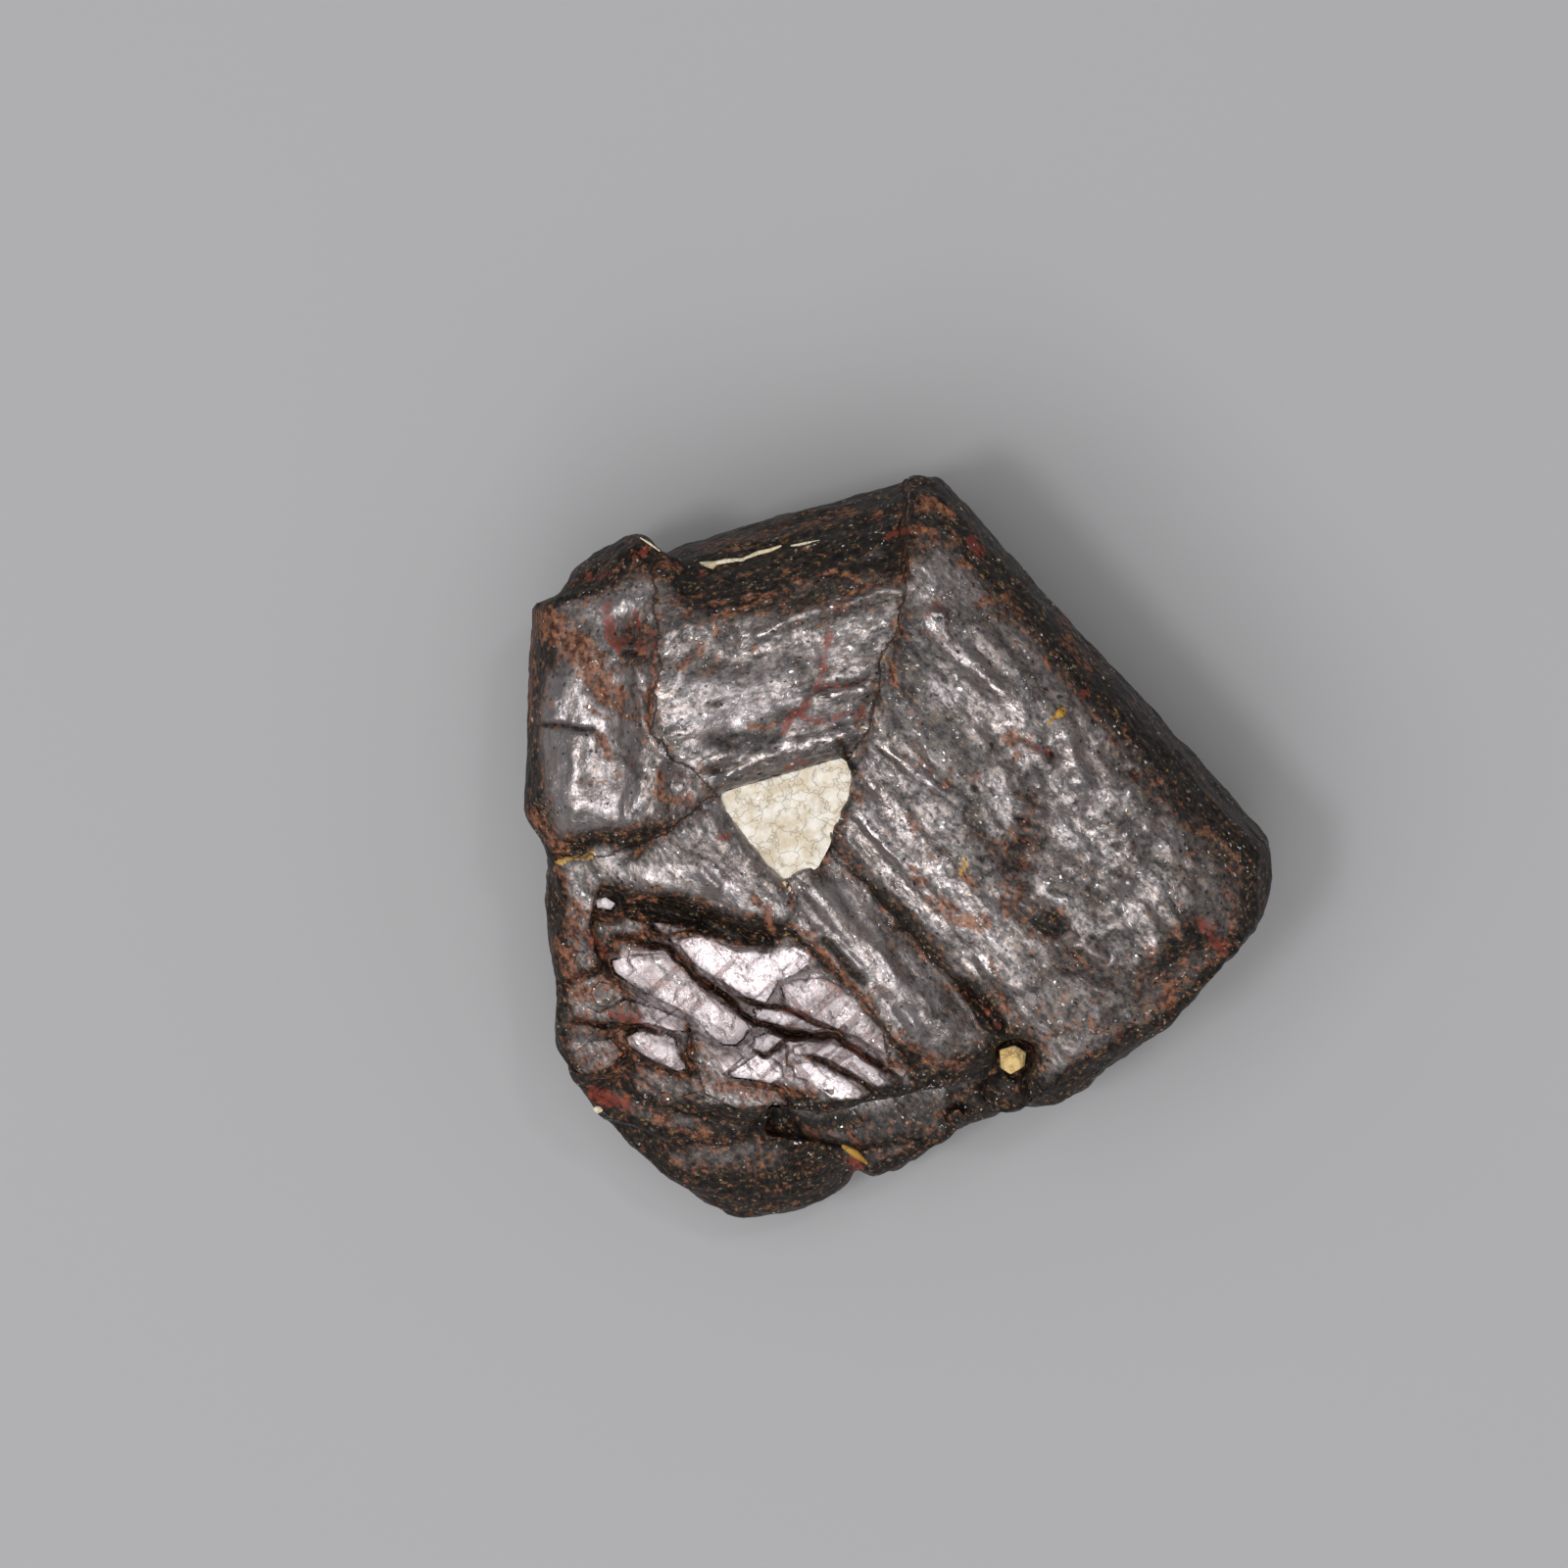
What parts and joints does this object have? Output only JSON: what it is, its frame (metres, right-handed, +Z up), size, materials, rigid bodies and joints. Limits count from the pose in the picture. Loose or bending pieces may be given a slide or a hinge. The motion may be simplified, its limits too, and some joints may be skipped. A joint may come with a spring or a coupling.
{
  "type": "rutile crystal",
  "caption": "Cyclic twin of dark rutile: striated prisms round a three-cornered hollow plugged with pale matrix, one side broken in steps.",
  "frame": {"origin": "middle of the footprint, on the flat broken face that the crystal rests on", "axes": "+Z up from the resting face towards the striated twin faces; +X towards the worn point of the large prism; +Y towards the elbow at the top"},
  "size_m": [0.0192, 0.0193, 0.011],
  "materials": {
    "rutile": "dark brown-black, adamantine gloss, striated, rust-stained along seams",
    "pale_matrix": "matte cream, finely cracked",
    "straw_matrix": "matte straw yellow"
  },
  "bodies": {
    "root": {"twinned_crystal": "rutile", "matrix_plug": "pale_matrix", "matrix_grain": "straw_matrix"}
  },
  "joints": []
}
